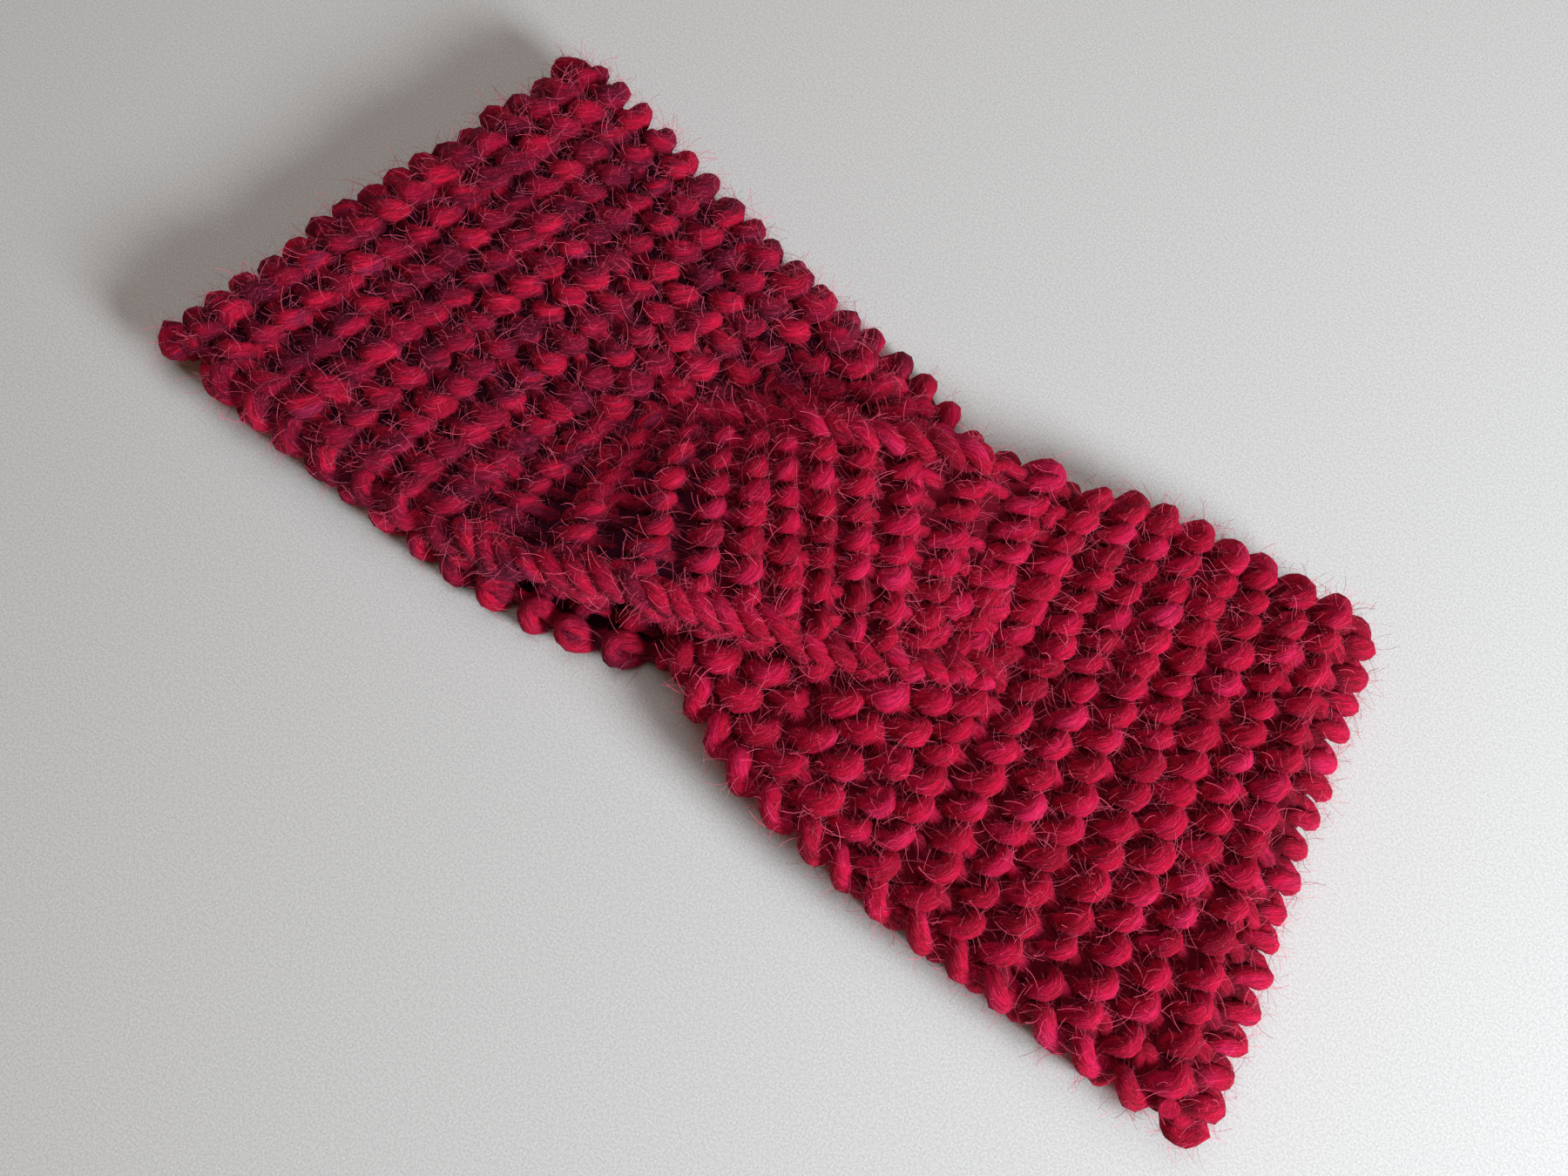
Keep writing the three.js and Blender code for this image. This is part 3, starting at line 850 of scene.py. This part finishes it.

# %% [markdown]
# ## How the loop opens
# The headband is one fabric, so nothing may come apart when the front lifts off the back. A region between two
# hinges rides on one body. A side fold and the crossing are shared by two; they are baked in place here and
# don't bend.

# %% which part of the loop each region moves with, or which two parts share it
riding = {
    "front_left_stitches": ("front_left", None, ["front_left_panel"]),
    "left_fold_stitches": (("back_left", "front_left"), "left_fold_open", ["left_side_fold"]),
    "back_left_stitches": ("back_left", None, ["back_left_panel"]),
    "back_right_stitches": ("back_right", None, ["back_right_panel"]),
    "right_fold_stitches": (("back_right", "front_right"), "right_fold_open", ["right_side_fold"]),
    "front_right_stitches": ("front_right", None, ["front_right_panel"]),
    "over_strand_stitches": (("front_left", "front_right"), "crossing_bend",
                             ["over_strand_left", "over_strand_right"]),
    "under_strand_stitches": (("front_left", "front_right"), "crossing_bend",
                              ["under_strand_left", "under_strand_right"]),
}
for name, (body, joint, nodes) in riding.items():
    web, width, length = webs[name]
    for piece in (stitches[name], *fibres[name], web):
        if joint is None:
            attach(piece, body)
        else:
            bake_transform(piece)
    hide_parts(*nodes)
    print(f"{web.name}: flat {width * 1000:.0f} x {length * 1000:.0f} mm")

# %% [markdown]
# ## The sewing yarn
# The strip's two ends are sewn together across the crossing with one thin length of the same wool. It shows
# as a few stitches over the lower strand's edge, and its two ends are woven in.

# %% sewing yarn
seam_low, seam_high = [[c / MM for c in corner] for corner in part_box("seam_yarn")]
SEAM_STITCHES = 5
SEAM_STEPS = 14         # points along the yarn in one of them
SEAM_RADIUS = 1.1       # mm; a thin strand split from the same roving
SEAM_PLACE = 3.0        # mm round the loop from the seam, which gives its tone
share = np.linspace(0, 1, SEAM_STITCHES * SEAM_STEPS + 1)
swing = np.abs(np.sin(math.pi * SEAM_STITCHES * share))
seam_middle = (seam_low[0] + seam_high[0]) / 2
room_x, room_y, room_z = [high - low - 2 * SEAM_RADIUS for low, high in zip(seam_low, seam_high)]
seam_points = np.stack([
    seam_middle + room_x / 2 * np.sin(2 * math.pi * SEAM_STITCHES / 2 * share),
    seam_low[1] + SEAM_RADIUS + room_y * share,
    seam_low[2] + SEAM_RADIUS + room_z * swing], axis=-1)
seam_run = [seam_points, np.full(len(share), SEAM_RADIUS), np.full(len(share), SEAM_PLACE), swing]
seam_piece = yarn_piece("sewing_yarn", [seam_run])
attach(seam_piece, "front_left")
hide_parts("seam_yarn")

# %% [markdown]
# ## Paper, light and camera
# The headband lies on a sheet of pale grey paper, lit by a large soft window. Uncoated paper is matt with a
# fine tooth, so one noise gives both its faint mottle and its relief.

# %% floor
GRAIN_MM = 0.45     # size of the tooth of the paper
GRAIN_DEPTH = 0.1   # mm
REACH = 1.5         # metres that the paper reaches to each side
floor_mesh = bpy.data.meshes.new("paper")
floor_mesh.from_pydata([(-REACH, -REACH, 0), (REACH, -REACH, 0), (REACH, REACH, 0), (-REACH, REACH, 0)],
                       [], [(0, 1, 2, 3)])
floor = bpy.data.objects.new("paper", floor_mesh)
bpy.context.scene.collection.objects.link(floor)
paper = bpy.data.materials.new("pale recycled paper")
paper.use_nodes = True
tree = paper.node_tree
tree.nodes.clear()
place = add_node(tree, "ShaderNodeTexCoord").outputs["Object"]
grain = add_node(tree, "ShaderNodeTexNoise", {"Vector": place, "Scale": 1 / (GRAIN_MM * MM), "Detail": 2.0})
shade = add_node(tree, "ShaderNodeValToRGB", {"Fac": grain.outputs["Fac"]},
                 [(0.35, "#C2C2BF"), (0.65, "#D6D7D4")]).outputs["Color"]
surface = add_node(tree, "ShaderNodeBsdfPrincipled", {"Base Color": shade, "Roughness": 0.9})
rough = add_node(tree, "ShaderNodeBump",
                 {"Height": grain.outputs["Fac"], "Strength": 0.12, "Distance": GRAIN_DEPTH * MM})
tree.links.new(rough.outputs[0], surface.inputs["Normal"])
add_node(tree, "ShaderNodeOutputMaterial", {"Surface": surface.outputs[0]})
floor.data.materials.append(paper)
print("floor:", paper.name)

# %% camera
AWAY = Vector((-0.614, 0.789, 0))       # the direction on the table that runs away from the viewer
TILT = math.radians(15)                 # of the line of sight, from straight down
LOOK_AT = Vector((6.9, -15.6, 12)) * MM
DISTANCE = 0.311                        # metres
LENS_MM, SENSOR_MM = 35, 36
sight = AWAY * math.sin(TILT) + Vector((0, 0, -math.cos(TILT)))
camera_data = bpy.data.cameras.new("camera")
camera_data.lens, camera_data.sensor_width = LENS_MM, SENSOR_MM
camera = bpy.data.objects.new("camera", camera_data)
camera.location = LOOK_AT - sight * DISTANCE
rightwards = AWAY.cross(Vector((0, 0, 1)))
upwards = rightwards.cross(sight)
camera.rotation_euler = Matrix((rightwards, upwards, -sight)).transposed().to_euler()
bpy.context.scene.collection.objects.link(camera)
bpy.context.scene.camera = camera
print(f"camera {camera.location.z:.2f} m above the table")

# %% [markdown]
# The window stands to the right and towards the viewer, so the light rakes over the stitches and each loop
# casts a soft shadow. A wide, weak lamp overhead and a warm, dim world stand for the rest of the room.

# %% lights
WINDOW_SIZE, WINDOW_POWER = 0.28, 11.0      # metres across, watts
ROOM_SIZE, ROOM_POWER = 1.0, 4.0
ROOM_GLOW = 0.13                            # strength of the world


def area_light(name, place, size, power, colour):
    """A round soft lamp that shines on the middle of the headband."""
    data = bpy.data.lights.new(name, "AREA")
    data.shape, data.size, data.energy = "DISK", size, power
    data.color = linear(colour)[:3]
    light = bpy.data.objects.new(name, data)
    light.location = place
    light.rotation_euler = (-place).to_track_quat("-Z", "Y").to_euler()
    bpy.context.scene.collection.objects.link(light)
    print(f"{name} lamp {size} m across, {power} W")


window_place = rightwards * 0.58 - AWAY * 0.5 + Vector((0, 0, 0.38))
room_place = rightwards * 0.1 + AWAY * 0.25 + Vector((0, 0, 1.0))
area_light("window", window_place, WINDOW_SIZE, WINDOW_POWER, "#F2F8FF")
area_light("room", room_place, ROOM_SIZE, ROOM_POWER, "#F8FAFF")
world = bpy.data.worlds.new("soft room light")
world.use_nodes = True
background = world.node_tree.nodes["Background"]
background.inputs["Color"].default_value = linear("#F2BE98")
background.inputs["Strength"].default_value = ROOM_GLOW
bpy.context.scene.world = world

# %% how the picture shows colour
bpy.context.scene.view_settings.view_transform = "Standard"   # keeps a deep red deep
